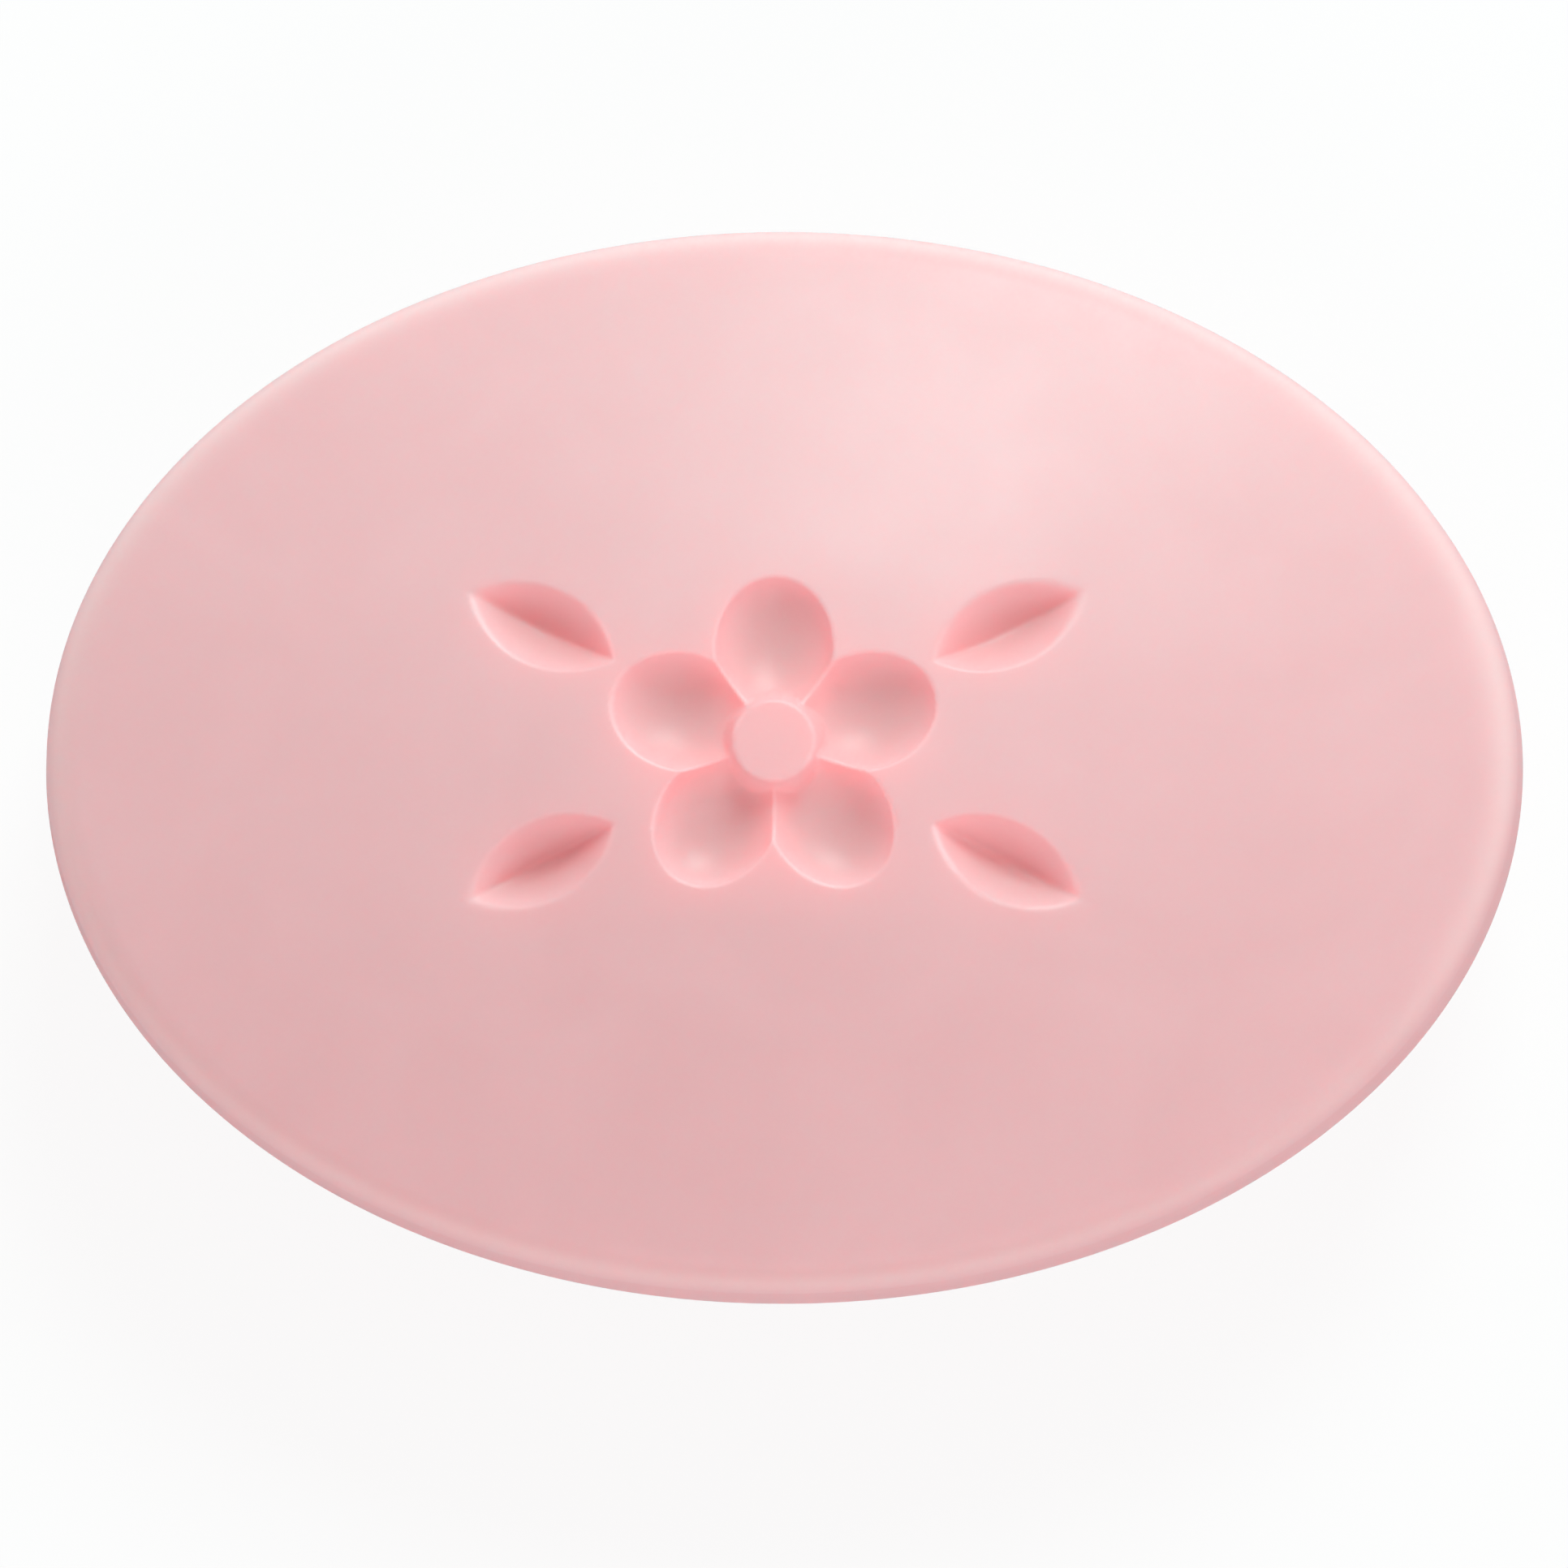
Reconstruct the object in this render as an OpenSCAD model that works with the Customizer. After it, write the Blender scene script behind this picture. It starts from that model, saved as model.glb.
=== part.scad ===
// Pressed toilet soap: an oval bar with a domed face, a rounded rim and a sunk blossom between leaf sprays.
// Millimetres. The bar rests on the XY plane, its long axis along X and its domed face up.

/* [Bar] */
// Length of the bar
bar_l = 90; // [80:1:100]
// Width of the bar
bar_w = 65.3; // [58:0.1:72]
// Height of the bar, from its resting face to its crown
bar_h = 27.5; // [25:0.5:30]

/* [Side wall] */
// Height of the parting line, where the two halves of the die meet
parting_z = 12.5; // [11:0.5:14]
// Height of the wall below the parting line, to the corner that the lower rim rounds
wall_down = 5.5; // [4.5:0.5:7]
// Angle by which each half of the wall leans in from the parting line
side_draft = 7; // [3:0.5:10]
// Radius of the rim between the wall and the domed face
rim_r = 3.5; // [2:0.1:5]
// Radius of the rim between the wall and the underside
lower_rim_r = 4; // [2:0.1:5]

/* [Faces] */
// Rise of the dome, from the corner that the rim rounds to the crown
dome_rise = 8.5; // [6:0.5:10]
// Radius of the dome's crown, along the bar
crown_r = 85; // [60:1:95]
// Radius of the dome's flank, along the bar
flank_r = 400; // [250:10:800]
// Length of the flat oval that the bar rests on
rest_l = 48; // [36:1:60]

/* [Blossom] */
// Number of petals
petals = 5; // [4:1:6]
// Width across the petals' tips
blossom_d = 20; // [18:0.1:22]
// Length of a petal
petal_l = 8.6; // [7:0.1:9.4]
// Width of a petal
petal_w = 7; // [5:0.1:7.6]
// Depth of a petal below the dome
petal_depth = 2.3; // [1:0.1:2.6]
// Height of the middle of a petal's scoop above the dome
petal_lift = 0.3; // [0.2:0.1:1]
// Width of the raised eye in the middle
eye_d = 4.8; // [3:0.1:6]
// Angle by which the eye's side leans
eye_draft = 20; // [10:1:30]

/* [Leaves] */
// Length of a leaf
leaf_l = 10; // [8:0.1:12]
// Width of a leaf
leaf_w = 4.8; // [3.5:0.1:5.5]
// Depth of a leaf's keel below the dome
leaf_depth = 2.3; // [1:0.1:2.6]
// Angle of a leaf from the bar's long axis
leaf_angle = 27; // [20:1:40]
// Gap between the petals' tips and a leaf's near end
leaf_gap = 0.5; // [0.4:0.1:2]

/* [Hidden] */

// Flat steps along a long arc and a rim of the half section
long_arc_steps = 12;
rim_steps = 6;

half_l = bar_l / 2;
narrowing = bar_w / bar_l;
parting = [half_l, parting_z];
// The wall above the parting line takes what height the dome leaves it
wall_up = bar_h - parting_z - dome_rise;
upper_corner = parting + wall_up * [-tan(side_draft), 1];
lower_corner = parting + wall_down * [-tan(side_draft), -1];

// The crown is an arc centred on the axis; the flank is tangent to it inside and ends at the upper corner
crown_c = [0, bar_h - crown_r];
flank_c = third_corner(crown_c, upper_corner, flank_r - crown_r, flank_r);
crown_end = angle_of(crown_c - flank_c);

// The underside is an arc tangent to the resting face that ends at the lower corner
under_run = lower_corner.x - rest_l / 2;
under_r = (under_run ^ 2 + lower_corner.y ^ 2) / (2 * lower_corner.y);
under_c = [rest_l / 2, under_r];

// Each rim is an arc inside the face's arc that touches the wall, and no rounder than its wall is high
rim = min(rim_r, wall_up);
lower_rim = min(lower_rim_r, wall_down);
rim_c = rim_centre(1, rim, flank_c, flank_r);
lower_rim_c = rim_centre(-1, lower_rim, under_c, under_r);

function angle_of(v) = atan2(v.y, v.x);

// Corner of the triangle over p and q that is p_side from p and q_side from q, to the right of p to q
function third_corner(p, q, p_side, q_side) =
    let (
        base = norm(q - p),
        turn = acos((p_side ^ 2 + base ^ 2 - q_side ^ 2) / (2 * p_side * base)),
        heading = angle_of(q - p) - turn
    )
    p + p_side * [cos(heading), sin(heading)];

// Centre of the rim of radius r, above (side 1) or below (side -1) the parting line,
// where it touches the wall and the arc of radius face_r about face_c
function rim_centre(side, r, face_c, face_r) =
    let (
        up_wall = [-sin(side_draft), side * cos(side_draft)],
        start = parting - r * [cos(side_draft), side * sin(side_draft)],
        back = (start - face_c) * up_wall,
        reach = face_r - r
    )
    start + up_wall * (sqrt(back ^ 2 - (start - face_c) * (start - face_c) + reach ^ 2) - back);

function arc(c, r, from, to, steps) =
    [for (i = [0 : steps]) let (a = from + (to - from) * i / steps) c + r * [cos(a), sin(a)]];

// Height of the domed face over the point x, y
function dome_z(x, y) =
    let (run = norm([x, y / narrowing]))
    run < crown_r * cos(crown_end)
        ? crown_c.y + sqrt(crown_r ^ 2 - run ^ 2)
        : flank_c.y + sqrt(flank_r ^ 2 - (run - flank_c.x) ^ 2);

// Half of the long section: underside, lower rim, parting line, rim, flank and crown
module half_section() {
    upper_meet = angle_of(rim_c - flank_c);
    lower_meet = angle_of(lower_rim_c - under_c);
    polygon(concat(
        [[0, 0]],
        arc(under_c, under_r, -90, lower_meet, long_arc_steps),
        arc(lower_rim_c, lower_rim, lower_meet, -side_draft, rim_steps),
        [parting],
        arc(rim_c, rim, side_draft, upper_meet, rim_steps),
        arc(flank_c, flank_r, upper_meet, crown_end, long_arc_steps),
        arc(crown_c, crown_r, crown_end, 90, long_arc_steps)
    ));
}

// The bar before it is stamped: the section turned about its axis by quarters and narrowed to an oval
module blank() {
    scale([1, narrowing, 1])
        for (quarter = [0 : 3])
            rotate([0, 0, 90 * quarter]) rotate_extrude(angle = 90, $fn = 96) half_section();
}

// Stands its children on the dome at x, y, square to the surface there and turned by heading
module on_dome(x, y, heading) {
    nudge = 0.01;
    slope_x = (dome_z(x + nudge, y) - dome_z(x - nudge, y)) / (2 * nudge);
    slope_y = (dome_z(x, y + nudge) - dome_z(x, y - nudge)) / (2 * nudge);
    tilt = atan(norm([slope_x, slope_y]));
    translate([x, y, dome_z(x, y)])
        rotate(a = tilt, v = [slope_y, -slope_x, 0])
            rotate([0, 0, heading]) children();
}

// A cupped petal along X: an egg-shaped scoop whose middle lies a little above the dome
module petal() {
    scoop_h = petal_depth + petal_lift;
    spread = sqrt(1 - (petal_lift / scoop_h) ^ 2);
    translate([0, 0, petal_lift])
        scale([petal_l / 2 / spread, petal_w / 2 / spread, scoop_h]) sphere(r = 1, $fn = 48);
}

// A pointed leaf along X: what two balls share, so that its sides meet in a keel
module leaf() {
    half_len = leaf_l / 2;
    lift = (half_len ^ 2 - leaf_depth ^ 2) / (2 * leaf_depth);
    side_r = (half_len ^ 2 + (leaf_w / 2) ^ 2) / leaf_w;
    ball_r = norm([side_r, lift]);
    ball_y = side_r - leaf_w / 2;
    intersection() {
        translate([0, ball_y, lift]) sphere(r = ball_r, $fn = 96);
        translate([0, -ball_y, lift]) sphere(r = ball_r, $fn = 96);
    }
}

module blossom() {
    petal_out = (blossom_d - petal_l) / 2;
    difference() {
        for (i = [0 : petals - 1]) {
            heading = 90 + 360 * i / petals;
            on_dome(petal_out * cos(heading), petal_out * sin(heading), heading) petal();
        }
        eye();
    }
}

// The eye that stays standing: a stub with leaning sides
module eye() {
    foot_h = 2 * petal_depth;
    translate([0, 0, bar_h - foot_h])
        cylinder(d1 = eye_d + 2 * foot_h * tan(eye_draft), d2 = eye_d, h = foot_h, $fn = 64);
}

module leaf_sprays() {
    leaf_out = blossom_d / 2 + leaf_gap + leaf_l / 2;
    for (side = [0, 180], lean = [-leaf_angle, leaf_angle]) {
        heading = side + lean;
        on_dome(leaf_out * cos(heading), leaf_out * sin(heading), heading) leaf();
    }
}

module soap_bar() {
    color("#ecbcbe") difference() {
        blank();
        blossom();
        leaf_sprays();
    }
}

soap_bar();
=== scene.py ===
# %% [markdown]
# # A pressed bar of soap
# A toilet soap is one solid piece, stamped between two halves of a die. The die leaves a domed face with a
# rounded rim, a side wall with a fine parting line, and whatever ornament is cut into its upper half. The
# CAD model gives the bar's size and place, and this script gives it a fine skin, a waxy finish and soft light.

import math

import bpy
import numpy as np
from mathutils import Matrix, Vector


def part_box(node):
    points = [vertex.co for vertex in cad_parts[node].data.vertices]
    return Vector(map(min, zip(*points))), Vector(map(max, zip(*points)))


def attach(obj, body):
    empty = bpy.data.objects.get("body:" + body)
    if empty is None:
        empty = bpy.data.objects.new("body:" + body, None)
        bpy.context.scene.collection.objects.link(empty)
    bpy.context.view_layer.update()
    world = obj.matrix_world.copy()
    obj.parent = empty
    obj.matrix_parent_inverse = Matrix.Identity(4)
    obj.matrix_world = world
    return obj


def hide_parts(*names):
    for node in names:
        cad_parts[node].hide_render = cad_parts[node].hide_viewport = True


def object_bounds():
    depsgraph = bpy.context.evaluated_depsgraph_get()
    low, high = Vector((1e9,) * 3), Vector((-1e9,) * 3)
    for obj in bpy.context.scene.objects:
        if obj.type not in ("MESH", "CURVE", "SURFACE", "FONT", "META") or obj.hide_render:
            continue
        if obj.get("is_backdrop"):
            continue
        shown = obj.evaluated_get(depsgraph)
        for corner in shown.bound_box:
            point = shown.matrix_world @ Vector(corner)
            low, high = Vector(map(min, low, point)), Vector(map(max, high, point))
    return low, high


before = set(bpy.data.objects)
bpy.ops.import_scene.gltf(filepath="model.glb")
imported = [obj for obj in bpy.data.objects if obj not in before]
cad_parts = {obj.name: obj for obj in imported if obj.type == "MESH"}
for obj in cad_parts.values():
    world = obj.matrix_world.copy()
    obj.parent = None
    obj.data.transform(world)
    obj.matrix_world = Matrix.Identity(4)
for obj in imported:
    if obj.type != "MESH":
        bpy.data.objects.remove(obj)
cad_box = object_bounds()
print("CAD box", cad_box)

# %% [markdown]
# ## The sizes that shape the bar
# The CAD part's box gives the length, width and height. The rest are the sizes of the die, in millimetres
# turned
# to metres: where its halves meet, how far the wall leans, and how round the rims and the dome are.

# %% Sizes of the bar
MM = 0.001
box_low, box_high = (np.array(corner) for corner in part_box("soap_bar"))
length, width, height = box_high - box_low
narrowing = width / length

parting_z = 12.5 * MM
dome_rise = 8.5 * MM
wall_up = height - parting_z - dome_rise
wall_down = 5.5 * MM
side_draft = math.radians(7)
rim_r = 3.5 * MM
lower_rim_r = 4 * MM
crown_r = 85 * MM
flank_r = 400 * MM
rest_length = 48 * MM
print("bar", np.round(np.array([length, width, height]) / MM, 2), "mm")


# %% [markdown]
# ## The bar's section
# Seen along its length the bar is a chain of arcs that run into each other without a corner: a crown, a
# flatter flank, a rim, a leaning wall up to the parting line, and the same again below. An arc that touches
# its neighbour from inside has its centre on the neighbour's radius, so every centre can be worked out.


# %% Centres of the section's arcs
def third_corner(p, q, p_side, q_side):
    """Corner of the triangle over p and q that is p_side from p and q_side from q, right of p to q."""
    base = np.linalg.norm(q - p)
    turn = math.acos((p_side**2 + base**2 - q_side**2) / (2 * p_side * base))
    heading = math.atan2(*(q - p)[::-1]) - turn
    return p + p_side * np.array([math.cos(heading), math.sin(heading)])


def rim_centre(side, r, face_c, face_r):
    """Centre of the arc of radius r that touches the wall and, from inside, the face's arc."""
    up_wall = np.array([-math.sin(side_draft), side * math.cos(side_draft)])
    start = parting - r * np.array([math.cos(side_draft), side * math.sin(side_draft)])
    back = (start - face_c) @ up_wall
    gap = start - face_c
    return start + up_wall * (math.sqrt(back**2 - gap @ gap + (face_r - r) ** 2) - back)


parting = np.array([length / 2, parting_z])
upper_corner = parting + wall_up * np.array([-math.tan(side_draft), 1])
lower_corner = parting + wall_down * np.array([-math.tan(side_draft), -1])
crown_c = np.array([0, height - crown_r])
flank_c = third_corner(crown_c, upper_corner, flank_r - crown_r, flank_r)
under_run = lower_corner[0] - rest_length / 2
under_r = (under_run**2 + lower_corner[1] ** 2) / (2 * lower_corner[1])
under_c = np.array([rest_length / 2, under_r])
rim_c = rim_centre(1, rim_r, flank_c, flank_r)
lower_rim_c = rim_centre(-1, lower_rim_r, under_c, under_r)
crown_end = math.atan2(*(crown_c - flank_c)[::-1])
rim_start = math.atan2(*(rim_c - flank_c)[::-1])
lower_meet = math.atan2(*(lower_rim_c - under_c)[::-1])
print("crown runs to", round(crown_r * math.cos(crown_end) / MM, 2), "mm, flank slopes",
      round(90 - math.degrees(rim_start), 1), "degrees at the rim")


# %% The domed face as a height
def dome_z(x, y):
    """Height of the dome: the crown's circle about the axis, then the flank's circle, by the run along X."""
    run = np.hypot(x, y / narrowing)
    crown = crown_c[1] + np.sqrt(np.maximum(crown_r**2 - run**2, 0))
    flank = flank_c[1] + np.sqrt(flank_r**2 - (run - flank_c[0]) ** 2)
    return np.where(run < crown_r * math.cos(crown_end), crown, flank)


# %% [markdown]
# ## The sunk ornament
# The die presses a blossom and four leaves into the dome. Each petal is the lower half of an egg, and each
# leaf is what two balls share, so its sides meet in a keel. Every one is a quadric, so its depth below any
# point is a root of a quadratic. The lips are softened by blending heights and not by a cut corner.

# %% Sizes of the ornament
petals = 5
blossom_d = 20 * MM
petal_length = 8.6 * MM
petal_width = 7 * MM
petal_depth = 2.3 * MM
petal_lift = 0.3 * MM
eye_d = 4.8 * MM
eye_draft = math.radians(20)
leaf_length = 10 * MM
leaf_width = 4.8 * MM
leaf_depth = 2.3 * MM
leaf_angle = math.radians(27)
leaf_gap = 0.5 * MM
lip_blend = 0.3 * MM
ridge_blend = 0.25 * MM


# %% Tools for sinking a shape
def blend_low(a, b, reach):
    """The lower of two heights, with the corner between them rounded over reach."""
    share = np.clip(0.5 + 0.5 * (b - a) / reach, 0, 1)
    return b * (1 - share) + a * share - reach * share * (1 - share)


def blend_high(a, b, reach):
    """The higher of two heights, with the corner between them rounded over reach."""
    return -blend_low(-a, -b, reach)


def dome_stand(x, y, heading):
    """Place and turn of a frame that stands on the dome square to it, its first axis along heading."""
    nudge = 0.01 * MM
    slope_x = (dome_z(x + nudge, y) - dome_z(x - nudge, y)) / (2 * nudge)
    slope_y = (dome_z(x, y + nudge) - dome_z(x, y - nudge)) / (2 * nudge)
    normal = Vector((-slope_x, -slope_y, 1))
    tilt = Vector((0, 0, 1)).rotation_difference(normal).to_matrix()
    turn = np.array(tilt @ Matrix.Rotation(heading, 3, "Z"))
    return np.array([x, y, float(dome_z(x, y))]), turn


def egg_floor(x, y, centre, turn, half_axes):
    """Lower height of an egg over x, y: the smaller root of |turn^T (p - centre) / half_axes| = 1 in z."""
    rise = turn[2] / half_axes
    flat = ((x - centre[0])[..., None] * turn[0] + (y - centre[1])[..., None] * turn[1]
            - centre[2] * turn[2]) / half_axes
    a = rise @ rise
    b = flat @ rise
    c = (flat**2).sum(-1) - 1
    inside = b**2 - a * c
    return np.where(inside > 0, (-b - np.sqrt(np.maximum(inside, 0))) / a, height)


# %% The blossom and the leaves
def petal_floor(x, y, heading):
    """An egg whose middle lies petal_lift above the dome, as long and wide there as the petal."""
    out = (blossom_d - petal_length) / 2
    place, turn = dome_stand(out * math.cos(heading), out * math.sin(heading), heading)
    scoop_h = petal_depth + petal_lift
    spread = math.sqrt(1 - (petal_lift / scoop_h) ** 2)
    half_axes = np.array([petal_length / 2 / spread, petal_width / 2 / spread, scoop_h])
    return egg_floor(x, y, place + petal_lift * turn[:, 2], turn, half_axes)


def leaf_floor(x, y, heading):
    """The higher of two balls' floors: the balls stand apart across the leaf and share a pointed keel."""
    out = blossom_d / 2 + leaf_gap + leaf_length / 2
    place, turn = dome_stand(out * math.cos(heading), out * math.sin(heading), heading)
    half = leaf_length / 2
    lift = (half**2 - leaf_depth**2) / (2 * leaf_depth)
    side_r = (half**2 + (leaf_width / 2) ** 2) / leaf_width
    ball = np.full(3, math.hypot(side_r, lift))
    apart = side_r - leaf_width / 2
    centres = [place + turn @ np.array([0, side * apart, lift]) for side in (-1, 1)]
    return blend_high(*(egg_floor(x, y, centre, turn, ball) for centre in centres), ridge_blend)


def eye_side(x, y):
    """Height of the raised eye: a cone that leans out by eye_draft from its top edge."""
    return height - (np.hypot(x, y) - eye_d / 2) / math.tan(eye_draft)


def face_z(x, y):
    """Height of the finished face: the dome, lowered to the petals round the eye and to the leaves."""
    floor = np.full(x.shape, float(height))
    for i in range(petals):
        heading = math.pi / 2 + 2 * math.pi * i / petals
        floor = blend_low(floor, petal_floor(x, y, heading), ridge_blend)
    floor = blend_high(floor, np.minimum(eye_side(x, y), height), ridge_blend)
    for side in (0, math.pi):
        for lean in (-leaf_angle, leaf_angle):
            floor = np.minimum(floor, leaf_floor(x, y, side + lean))
    return blend_low(dome_z(x, y), floor, lip_blend)


# %% [markdown]
# ## The skin
# A square grid is bent into a disc, so that no point of the face is pinched and the cells can be small where
# the ornament lies. Its edge has four times as many points as a side, and the rings of the rim, the wall and
# the underside carry on from it to the flat oval that the bar rests on.

# %% The face as a bent grid
cells = 256
fine_share = 0.72
fine_reach = 0.45


def spread_cells(t):
    """Eases a share t of the way out so that fine_share of the cells fall within fine_reach."""
    size = np.abs(t)
    inner = size * fine_reach / fine_share
    far = (size - fine_share) / (1 - fine_share)
    start_rate = fine_reach / fine_share * (1 - fine_share)
    rest = 1 - fine_reach
    outer = fine_reach + start_rate * far + (rest - start_rate) * far**2
    return np.sign(t) * np.where(size < fine_share, inner, outer)


steps = np.linspace(-1, 1, cells + 1)
u, v = np.meshgrid(steps, steps)
sideways = np.abs(u) >= np.abs(v)
main = np.where(sideways, u, v)
cross = np.where(sideways, v, u)
share = np.divide(cross, main, out=np.zeros_like(cross), where=main != 0)
angle = np.where(sideways, share * math.pi / 4, math.pi / 2 - share * math.pi / 4)
run = spread_cells(main) * (rim_c[0] + rim_r * math.cos(rim_start))
grid_x = run * np.cos(angle)
grid_y = run * np.sin(angle) * narrowing
grid = np.stack([grid_x, grid_y, face_z(grid_x, grid_y)], -1).reshape(-1, 3)
cell = grid_x[cells // 2, cells // 2 + 1]
print("face", len(grid), "points, cells of", round(cell / MM, 3), "mm in the middle")


# %% Rim, wall and underside as rings
def arc(centre, r, start, end, count):
    """Points on a circle about centre from angle start to end, without the first."""
    t = np.linspace(start, end, count + 1)[1:]
    return centre + r * np.stack([np.cos(t), np.sin(t)], -1)


def straight(start, end, count):
    """Points on the line from start to end, without the first."""
    return start + (end - start) * np.linspace(0, 1, count + 1)[1:, None]


rim_rings, wall_rings, lower_rim_rings, under_rings = 9, 4, 6, 8
down_rim = arc(rim_c, rim_r, rim_start, side_draft, rim_rings)
wall_foot = lower_rim_c + lower_rim_r * np.array([math.cos(side_draft), -math.sin(side_draft)])
section = np.concatenate([
    down_rim,
    straight(down_rim[-1], parting, wall_rings),
    straight(parting, wall_foot, wall_rings),
    arc(lower_rim_c, lower_rim_r, -side_draft, lower_meet, lower_rim_rings),
    arc(under_c, under_r, lower_meet, -math.pi / 2, under_rings),
])

index = np.arange((cells + 1) ** 2).reshape(cells + 1, cells + 1)
border = np.concatenate([index[:-1, -1], index[-1, :0:-1], index[:0:-1, 0], index[0, :-1]])
border_angle = np.arctan2(grid[border, 1] / narrowing, grid[border, 0])
around = len(border)
ring_points = np.stack([
    section[:, :1] * np.cos(border_angle),
    section[:, :1] * np.sin(border_angle) * narrowing,
    np.repeat(section[:, 1:], around, 1),
], -1).reshape(-1, 3)
print("rings", len(section), "of", around, "points")

# %% [markdown]
# ## The mesh
# Each ring has a point for every point on the disc's edge, so the skin closes without a seam, and one face
# closes the flat oval below. Each point also keeps how far it is sunk below the dome, which the finish uses to
# paint shade into the hollows.

# %% The bar's mesh
quads = np.stack([index[:-1, :-1], index[:-1, 1:], index[1:, 1:], index[1:, :-1]], -1).reshape(-1, 4)
rings = len(grid) + np.arange(len(ring_points)).reshape(-1, around)
loops = np.concatenate([border[None], rings])
nxt = np.roll(loops, -1, 1)
bands = np.stack([loops[:-1], loops[1:], nxt[1:], nxt[:-1]], -1).reshape(-1, 4)
cap = loops[-1][::-1].tolist()

points = np.concatenate([grid, ring_points])
faces = np.concatenate([quads, bands]).tolist() + [cap]
mesh = bpy.data.meshes.new("pressed_soap")
mesh.from_pydata(points.tolist(), [], faces)
mesh.validate()
mesh.polygons.foreach_set("use_smooth", np.ones(len(mesh.polygons), bool))
# depth below the dome, kept as the mask for the painted shade in the hollows
sunk = np.zeros(len(points))
sunk[:len(grid)] = (dome_z(grid[:, 0], grid[:, 1]) - grid[:, 2]) / petal_depth
mesh.attributes.new("sunk", "FLOAT", "POINT").data.foreach_set("value", sunk.clip(0, 1))
soap = bpy.data.objects.new("pressed_soap", mesh)
bpy.context.scene.collection.objects.link(soap)
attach(soap, "root")
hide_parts("soap_bar")
print("mesh", len(mesh.vertices), "points", sum(p.loop_total - 2 for p in mesh.polygons), "triangles")


# %% [markdown]
# ## The soap's finish
# Milled toilet soap is an even, waxy paste. Light goes a little way into it before it comes back, and red goes
# much further than green and blue, so a hollow glows coral where a plain surface would turn grey. On top of
# that, the hollows are painted a deeper coral as painted shade. Image textures could carry the marbling and
# the marks of the die, but noise on the bar's own coordinates does so with no seam and at any size. Each noise
# is as wide as what it stands for on the bar.

# %% Colours and nodes
def hex_colour(code):
    """Linear RGBA of an sRGB hex code, by the sRGB curve."""
    srgb = np.array([int(code[i:i + 2], 16) for i in (1, 3, 5)]) / 255
    linear = np.where(srgb <= 0.04045, srgb / 12.92, ((srgb + 0.055) / 1.055) ** 2.4)
    return (*linear.tolist(), 1)


def add_node(tree, kind, inputs=None, **settings):
    """A new node with its settings. Each input gets a value, or a link from the socket given for it."""
    node = tree.nodes.new(kind)
    for name, value in settings.items():
        setattr(node, name, value)
    for name, value in (inputs or {}).items():
        if isinstance(value, bpy.types.NodeSocket):
            tree.links.new(value, node.inputs[name])
        else:
            node.inputs[name].default_value = value
    return node


# %% Soap: marbling, clouds, dents and grain
soap_finish = bpy.data.materials.new("rose_toilet_soap")
soap_finish.use_nodes = True
tree = soap_finish.node_tree
tree.nodes.clear()
place = add_node(tree, "ShaderNodeTexCoord").outputs["Object"]

marbling_width = 11 * MM
cloud_width = 3.8 * MM
dent_width = 4.5 * MM
# the die's real grain is finer than the picture shows, so it is drawn this coarse
grain_width = 0.67 * MM
marbling = add_node(tree, "ShaderNodeTexNoise", {
    "Vector": place, "Scale": 1 / marbling_width, "Detail": 3, "Roughness": 0.45, "Distortion": 0.8,
}).outputs[0]
cloud = add_node(tree, "ShaderNodeTexNoise", {
    "Vector": place, "Scale": 1 / cloud_width, "Detail": 2, "Roughness": 0.5,
}).outputs[0]
dents = add_node(tree, "ShaderNodeTexNoise", {
    "Vector": place, "Scale": 1 / dent_width, "Detail": 1, "Roughness": 0.4,
}).outputs[0]
grain = add_node(tree, "ShaderNodeTexNoise", {
    "Vector": place, "Scale": 1 / grain_width, "Detail": 3, "Roughness": 0.55,
}).outputs[0]
widths = np.array([marbling_width, cloud_width, dent_width, grain_width])
print("noise scales", np.round(1 / widths), "per metre")

# %% [markdown]
# ## Where the finish changes
# A painted highlight makes a pale band round the rim, the wall that slid out of the die is duller than the
# face, and painted shade makes the hollows a deeper coral. The rim and the wall are told apart by height, at
# angles round the rim's arc, and the hollows by the depth that the mesh keeps.

# %% Heights on the rim
# degrees round the rim's arc, from the wall up to the flank
rim_angles = (7, 12, 40, 72)
rim_heights = rim_c[1] + rim_r * np.sin(np.radians(rim_angles))
foot_z, low_z, mid_z, top_z = rim_heights.tolist()
fade_out = 0.3 * MM
print("heights on the rim", np.round(rim_heights / MM, 2), "mm")

# %% Soap: colour, with painted shade in the hollows and a painted highlight on the rim
# painted shade: the deeper a point lies in a hollow, the more it is tinted towards a dark coral
hollow_shade_share = 0.26
rim_highlight_share = 0.7
ease = {"interpolation_type": "SMOOTHSTEP"}
level = add_node(tree, "ShaderNodeSeparateXYZ", {0: place}).outputs["Z"]
sunk_share = add_node(tree, "ShaderNodeAttribute", attribute_name="sunk").outputs["Fac"]
paste = add_node(tree, "ShaderNodeMix", {
    "Factor": marbling, 6: hex_colour("#f1b8bc"), 7: hex_colour("#f7c3c7"),
}, data_type="RGBA").outputs[2]
hollow_shade_mask = add_node(tree, "ShaderNodeMapRange", {
    0: sunk_share, 1: 0.05, 2: 0.9, 3: 0.0, 4: hollow_shade_share,
}, **ease).outputs[0]
paste_with_shade = add_node(tree, "ShaderNodeMix", {
    "Factor": hollow_shade_mask, 6: paste, 7: hex_colour("#ef9f9f"),
}, data_type="RGBA").outputs[2]
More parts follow.
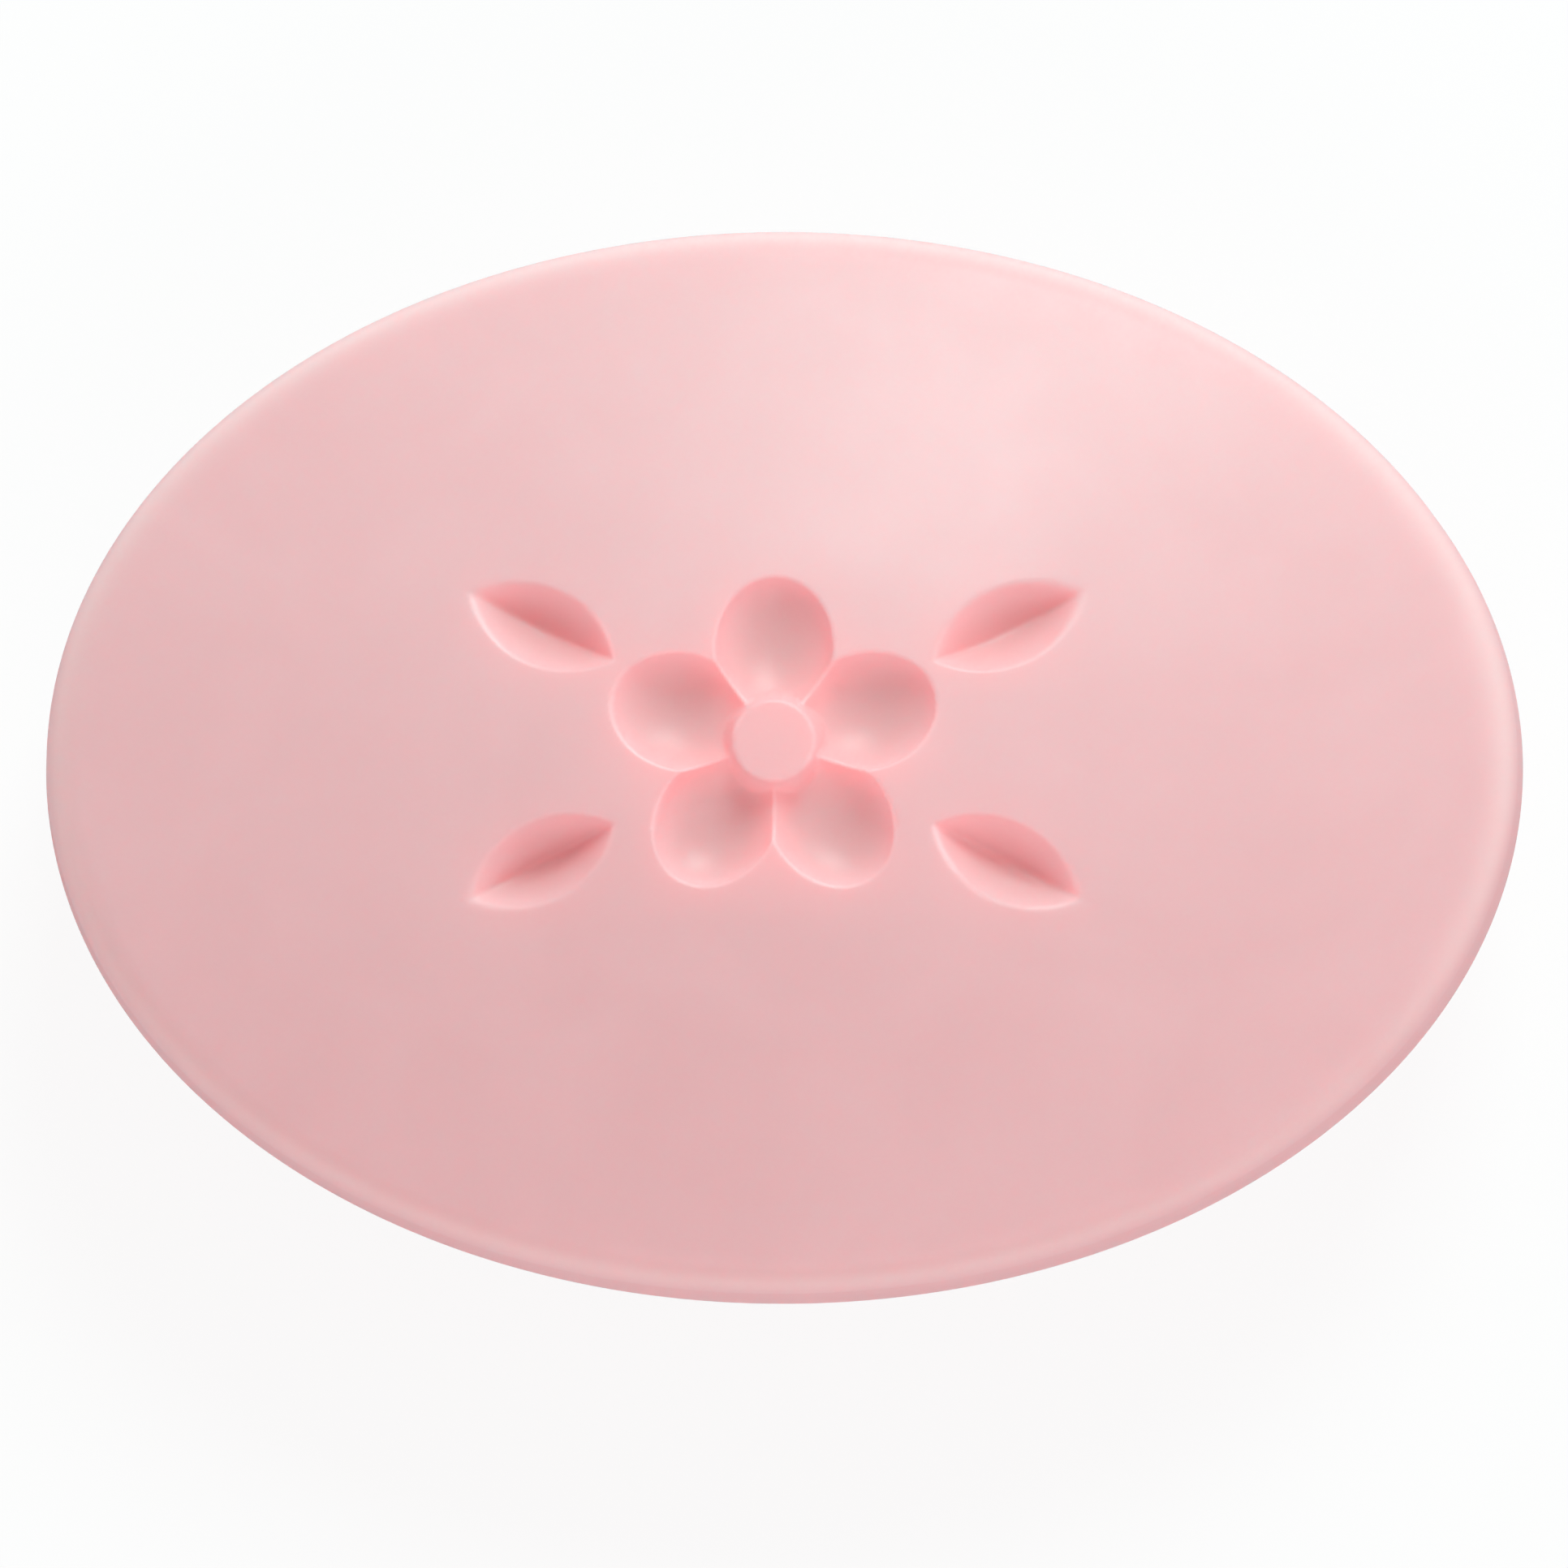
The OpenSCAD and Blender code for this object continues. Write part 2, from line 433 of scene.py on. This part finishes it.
# painted highlight: a pale band partway round the rim's arc, where light from low down catches the rim
highlight_rising = add_node(tree, "ShaderNodeMapRange", {
    0: level, 1: low_z, 2: mid_z, 3: 0.0, 4: 1.0,
}, **ease).outputs[0]
highlight_fading = add_node(tree, "ShaderNodeMapRange", {
    0: level, 1: mid_z, 2: top_z + fade_out, 3: rim_highlight_share, 4: 0.0,
}, **ease).outputs[0]
rim_highlight_mask = add_node(tree, "ShaderNodeMath", {0: highlight_rising, 1: highlight_fading}, operation="MULTIPLY").outputs[0]
# the paste's colour with the painted shade in the hollows and the painted highlight on the rim
colour_with_painted_light = add_node(tree, "ShaderNodeMix", {
    "Factor": rim_highlight_mask, 6: paste_with_shade, 7: hex_colour("#ffd9da"),
}, data_type="RGBA").outputs[2]

# %% Soap: polish and marks
face_roughness = (0.4, 0.44)
wall_roughness = 0.6
dent_depth = 0.01 * MM
grain_depth = 0.004 * MM
polish = add_node(tree, "ShaderNodeMapRange", {
    0: cloud, 1: 0.3, 2: 0.7, 3: face_roughness[0], 4: face_roughness[1],
}).outputs[0]
dull = add_node(tree, "ShaderNodeMapRange", {
    0: level, 1: low_z, 2: foot_z, 3: 0.0, 4: 1.0,
}, **ease).outputs[0]
wear = add_node(tree, "ShaderNodeMix", {
    "Factor": dull, 2: polish, 3: wall_roughness,
}, data_type="FLOAT").outputs[0]
dents_bump = add_node(tree, "ShaderNodeBump", {
    "Strength": 1.0, "Distance": dent_depth, "Height": dents,
}).outputs[0]
grain_bump = add_node(tree, "ShaderNodeBump", {
    "Strength": 1.0, "Distance": grain_depth, "Height": grain, "Normal": dents_bump,
}).outputs[0]
print("roughness", face_roughness, "on the face and", wall_roughness, "on the wall")

# %% Soap: body
red_reach = 5 * MM
# of that, the share that red, green and blue go
reach_shares = (1.0, 0.06, 0.055)
body = add_node(tree, "ShaderNodeBsdfPrincipled", {
    "Base Color": colour_with_painted_light,
    "Roughness": wear,
    "Normal": grain_bump,
    "IOR": 1.45,
    "Subsurface Weight": 1.0,
    "Subsurface Radius": reach_shares,
    "Subsurface Scale": red_reach,
}, subsurface_method="BURLEY")
add_node(tree, "ShaderNodeOutputMaterial", {"Surface": body.outputs["BSDF"]})
mesh.materials.append(soap_finish)
print("soap finish", len(tree.nodes), "nodes; red goes", red_reach / MM, "mm into the paste")


# %% [markdown]
# ## The floor
# The bar lies on matt white paper. More light would make a floor white and burn out the soap with it. So the
# paper glows for the rays that look at it, and its own matt white, which keeps the bar's soft shadow, is mixed
# in. To the rays that only carry light it is pale grey, as paper in a shaded room is, so that it doesn't light
# the wall from below.

# %% Rays that show the background
def seen_rays(tree):
    """1 on rays that the camera, a gloss or a clear body looks along, and 0 on rays that only carry light."""
    rays = add_node(tree, "ShaderNodeLightPath").outputs
    seen = add_node(tree, "ShaderNodeMath", {
        0: rays["Is Camera Ray"], 1: rays["Is Glossy Ray"],
    }, operation="ADD", use_clamp=True)
    return add_node(tree, "ShaderNodeMath", {
        0: seen.outputs[0], 1: rays["Is Transmission Ray"],
    }, operation="ADD", use_clamp=True).outputs[0]


# %% Floor
floor_reach = 3.0
glow_share = 0.88
corners = [(x * floor_reach, y * floor_reach, 0) for x, y in ((-1, -1), (1, -1), (1, 1), (-1, 1))]
floor_mesh = bpy.data.meshes.new("floor")
floor_mesh.from_pydata(corners, [], [(0, 1, 2, 3)])
floor = bpy.data.objects.new("floor", floor_mesh)
bpy.context.scene.collection.objects.link(floor)
floor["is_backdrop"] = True

paper = bpy.data.materials.new("matt_white_paper")
paper.use_nodes = True
tree = paper.node_tree
tree.nodes.clear()
seen = seen_rays(tree)
shade = add_node(tree, "ShaderNodeMix", {
    "Factor": seen, 6: hex_colour("#cccccc"), 7: hex_colour("#ffffff"),
}, data_type="RGBA").outputs[2]
matt = add_node(tree, "ShaderNodeBsdfDiffuse", {"Color": shade})
glow = add_node(tree, "ShaderNodeEmission", {"Color": hex_colour("#ffffff"), "Strength": 1.0})
glowing = add_node(tree, "ShaderNodeMath", {0: seen, 1: glow_share}, operation="MULTIPLY").outputs[0]
mix = add_node(tree, "ShaderNodeMixShader", {0: glowing, 1: matt.outputs[0], 2: glow.outputs[0]})
add_node(tree, "ShaderNodeOutputMaterial", {"Surface": mix.outputs[0]})
floor_mesh.materials.append(paper)
print("floor", 2 * floor_reach, "m wide")

# %% [markdown]
# ## The sky
# A bright ring lights the bar from low all round: strength = 9.05 z (1 - z^2)^4 for a direction's height z.
# It is dark at the horizon, so the steep wall stays a little darker than the face, and strongest 20 degrees
# up. A factor 1 - 0.3 x (x - 0.4) weakens it towards the bar's ends, most of all towards -X. Rays that look
# past the floor see plain white.

# %% World
world = bpy.data.worlds.new("studio")
bpy.context.scene.world = world
world.use_nodes = True
tree = world.node_tree
tree.nodes.clear()
sky_power = 9.05
sky_fall = 4.0
end_loss = 0.3
end_shift = 0.4
towards = add_node(tree, "ShaderNodeTexCoord").outputs["Generated"]
parts = add_node(tree, "ShaderNodeSeparateXYZ", {0: towards}).outputs
x, z = parts["X"], parts["Z"]
above = add_node(tree, "ShaderNodeMath", {0: z, 1: 0.0}, operation="MAXIMUM").outputs[0]
squared = add_node(tree, "ShaderNodeMath", {0: above, 1: above}, operation="MULTIPLY").outputs[0]
flatness = add_node(tree, "ShaderNodeMath", {0: 1.0, 1: squared}, operation="SUBTRACT").outputs[0]
fall = add_node(tree, "ShaderNodeMath", {0: flatness, 1: sky_fall}, operation="POWER").outputs[0]
climb = add_node(tree, "ShaderNodeMath", {0: above, 1: sky_power}, operation="MULTIPLY").outputs[0]
ring = add_node(tree, "ShaderNodeMath", {0: fall, 1: climb}, operation="MULTIPLY").outputs[0]
shift = add_node(tree, "ShaderNodeMath", {0: x, 1: end_shift}, operation="SUBTRACT").outputs[0]
along = add_node(tree, "ShaderNodeMath", {0: x, 1: shift}, operation="MULTIPLY").outputs[0]
ends = add_node(tree, "ShaderNodeMath", {0: along, 1: -end_loss, 2: 1.0}, operation="MULTIPLY_ADD").outputs[0]
light = add_node(tree, "ShaderNodeMath", {0: ring, 1: ends}, operation="MULTIPLY").outputs[0]
seen = seen_rays(tree)
strength = add_node(tree, "ShaderNodeMix", {
    "Factor": seen, 2: light, 3: 1.0,
}, data_type="FLOAT").outputs[0]
sky_colour = add_node(tree, "ShaderNodeMix", {
    "Factor": seen, 6: hex_colour("#fff4f4"), 7: hex_colour("#ffffff"),
}, data_type="RGBA").outputs[2]
sky = add_node(tree, "ShaderNodeBackground", {"Color": sky_colour, "Strength": strength})
add_node(tree, "ShaderNodeOutputWorld", {"Surface": sky.outputs[0]})
strongest = 1 / math.sqrt(1 + 2 * sky_fall)
print("sky strongest", round(math.degrees(math.asin(strongest)), 1), "degrees up, at",
      round(sky_power * strongest * (1 - strongest**2) ** sky_fall, 2))


# %% [markdown]
# ## The lamps
# A soft box behind the bar, a little to its right, gives the pale sheen on the far side of the dome and
# shades the hollows' far walls. A weak one in front lifts the near side. The key is a little cool and the sky
# a little rosy, so the lit side turns pale and the shaded side keeps its pink.

# %% Lamps
def soft_box(name, place, aim, size, power, colour):
    """A square area lamp at place that faces aim."""
    lamp = bpy.data.lights.new(name, "AREA")
    lamp.shape = "SQUARE"
    lamp.size = size
    lamp.energy = power
    lamp.color = hex_colour(colour)[:3]
    holder = bpy.data.objects.new(name, lamp)
    holder.location = place
    holder.rotation_euler = (Vector(aim) - Vector(place)).to_track_quat("-Z", "Y").to_euler()
    bpy.context.scene.collection.objects.link(holder)
    return holder


middle = (0, 0, height / 2)
lamp_distance = 0.8
# name, azimuth and elevation in degrees, size in metres, power in watts, colour
soft_boxes = (
    ("key", 75, 42, 0.3, 3.6, "#d8fffa"),
    ("fill", 275, 35, 0.35, 0.75, "#ffffff"),
)
for name, azimuth, elevation, size, power, colour in soft_boxes:
    azimuth, elevation = math.radians(azimuth), math.radians(elevation)
    level_reach = math.cos(elevation)
    way = Vector((level_reach * math.cos(azimuth), level_reach * math.sin(azimuth), math.sin(elevation)))
    lamp = soft_box(name, lamp_distance * way, middle, size, power, colour)
    print(name, "at", np.round(lamp.location, 2), "m")

# %% [markdown]
# ## The camera
# A long lens looks almost straight down. Its distance follows from how much of the picture's width the bar
# fills: the width in view is length x picture / bar_pixels, and the distance is that width x lens / sensor.

# %% Camera
lens = 200
sensor = 36
picture = 1932
bar_pixels = 1821
lean_x, lean_y = math.radians(2), math.radians(6)
frame_width = length * picture / bar_pixels
distance = frame_width * lens / sensor
aim = Vector((0.1 * MM, -1.02 * MM, parting_z))
offset = Vector((math.sin(lean_x), -math.sin(lean_y), 0))
offset.z = math.sqrt(1 - offset.length_squared)
camera_data = bpy.data.cameras.new("camera")
camera_data.lens = lens
camera_data.sensor_width = sensor
camera_data.clip_start = 0.01
camera = bpy.data.objects.new("camera", camera_data)
right = (Vector((1, 0, 0)) - offset.x * offset).normalized()
turn = Matrix((right, offset.cross(right), offset)).transposed()
camera.matrix_world = Matrix.Translation(aim + offset * distance) @ turn.to_4x4()
bpy.context.scene.collection.objects.link(camera)
bpy.context.scene.camera = camera
bpy.context.scene.view_settings.view_transform = "Standard"
print("camera", round(distance, 3), "m away, picture", round(frame_width / MM, 1), "mm wide")

# %% [markdown]
# ## Size
# The skin has to lie inside the CAD's box, so both boxes are printed side by side.

# %% Size
size = {
    "cad": [list(map(float, corner)) for corner in cad_box],
    "visual": [list(map(float, corner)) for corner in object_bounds()],
}
print("sizes", size)
